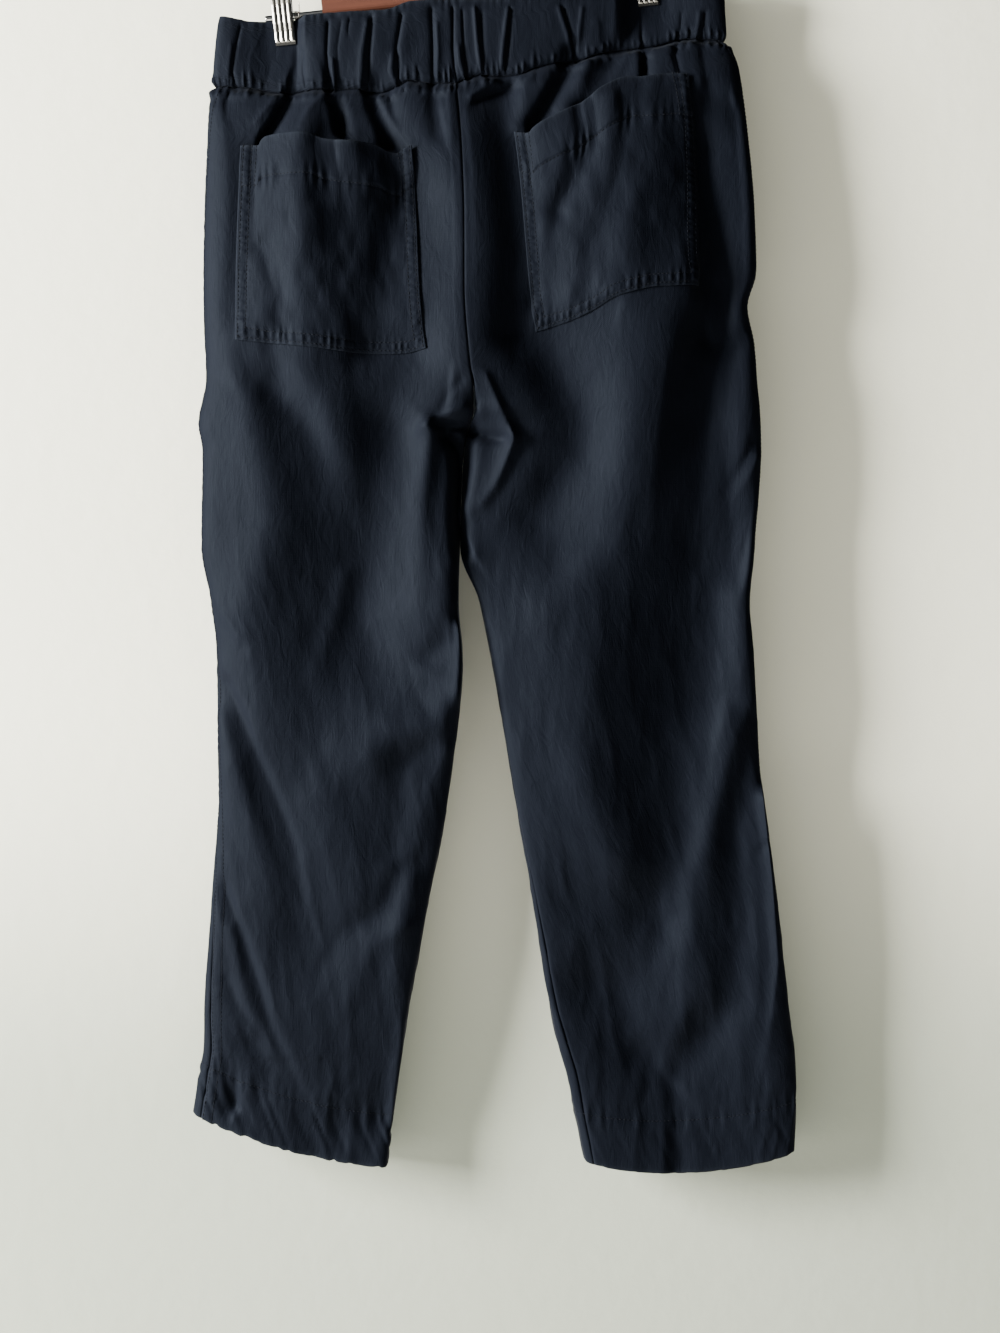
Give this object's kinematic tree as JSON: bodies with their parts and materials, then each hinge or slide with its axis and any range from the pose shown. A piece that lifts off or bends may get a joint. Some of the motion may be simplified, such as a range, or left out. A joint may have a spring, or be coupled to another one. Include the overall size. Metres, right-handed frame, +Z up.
{
  "type": "capri pants on clip hanger",
  "caption": "Cropped pull-on trousers with a gathered elastic waistband and back patch pockets, hung by the waistband from a wooden clip hanger.",
  "frame": {"origin": "inner top of the hanger's hook, where a rail holds it", "axes": "+Z up, +Y from the garment's back to its front, +X towards the wearer's right"},
  "size_m": [0.4531, 0.0608, 0.9862],
  "materials": {
    "cloth": "matte dark blue-black slubbed twill",
    "stained_wood": "reddish brown stain under satin varnish",
    "polished_steel": "polished",
    "nickel": "nickel plated pressed steel"
  },
  "bodies": {
    "root": {"back_left": "cloth", "back_right": "cloth", "front_left": "cloth", "front_right": "cloth", "waistband": "cloth", "pocket_left": "cloth", "pocket_right": "cloth", "hanger_bar": "stained_wood", "rod_left": "polished_steel", "rod_right": "polished_steel", "clip_left_back": "nickel", "clip_left_front": "nickel", "clip_left_spring": "nickel", "clip_right_back": "nickel", "clip_right_front": "nickel", "clip_right_spring": "nickel", "hook": "polished_steel"}
  },
  "joints": []
}
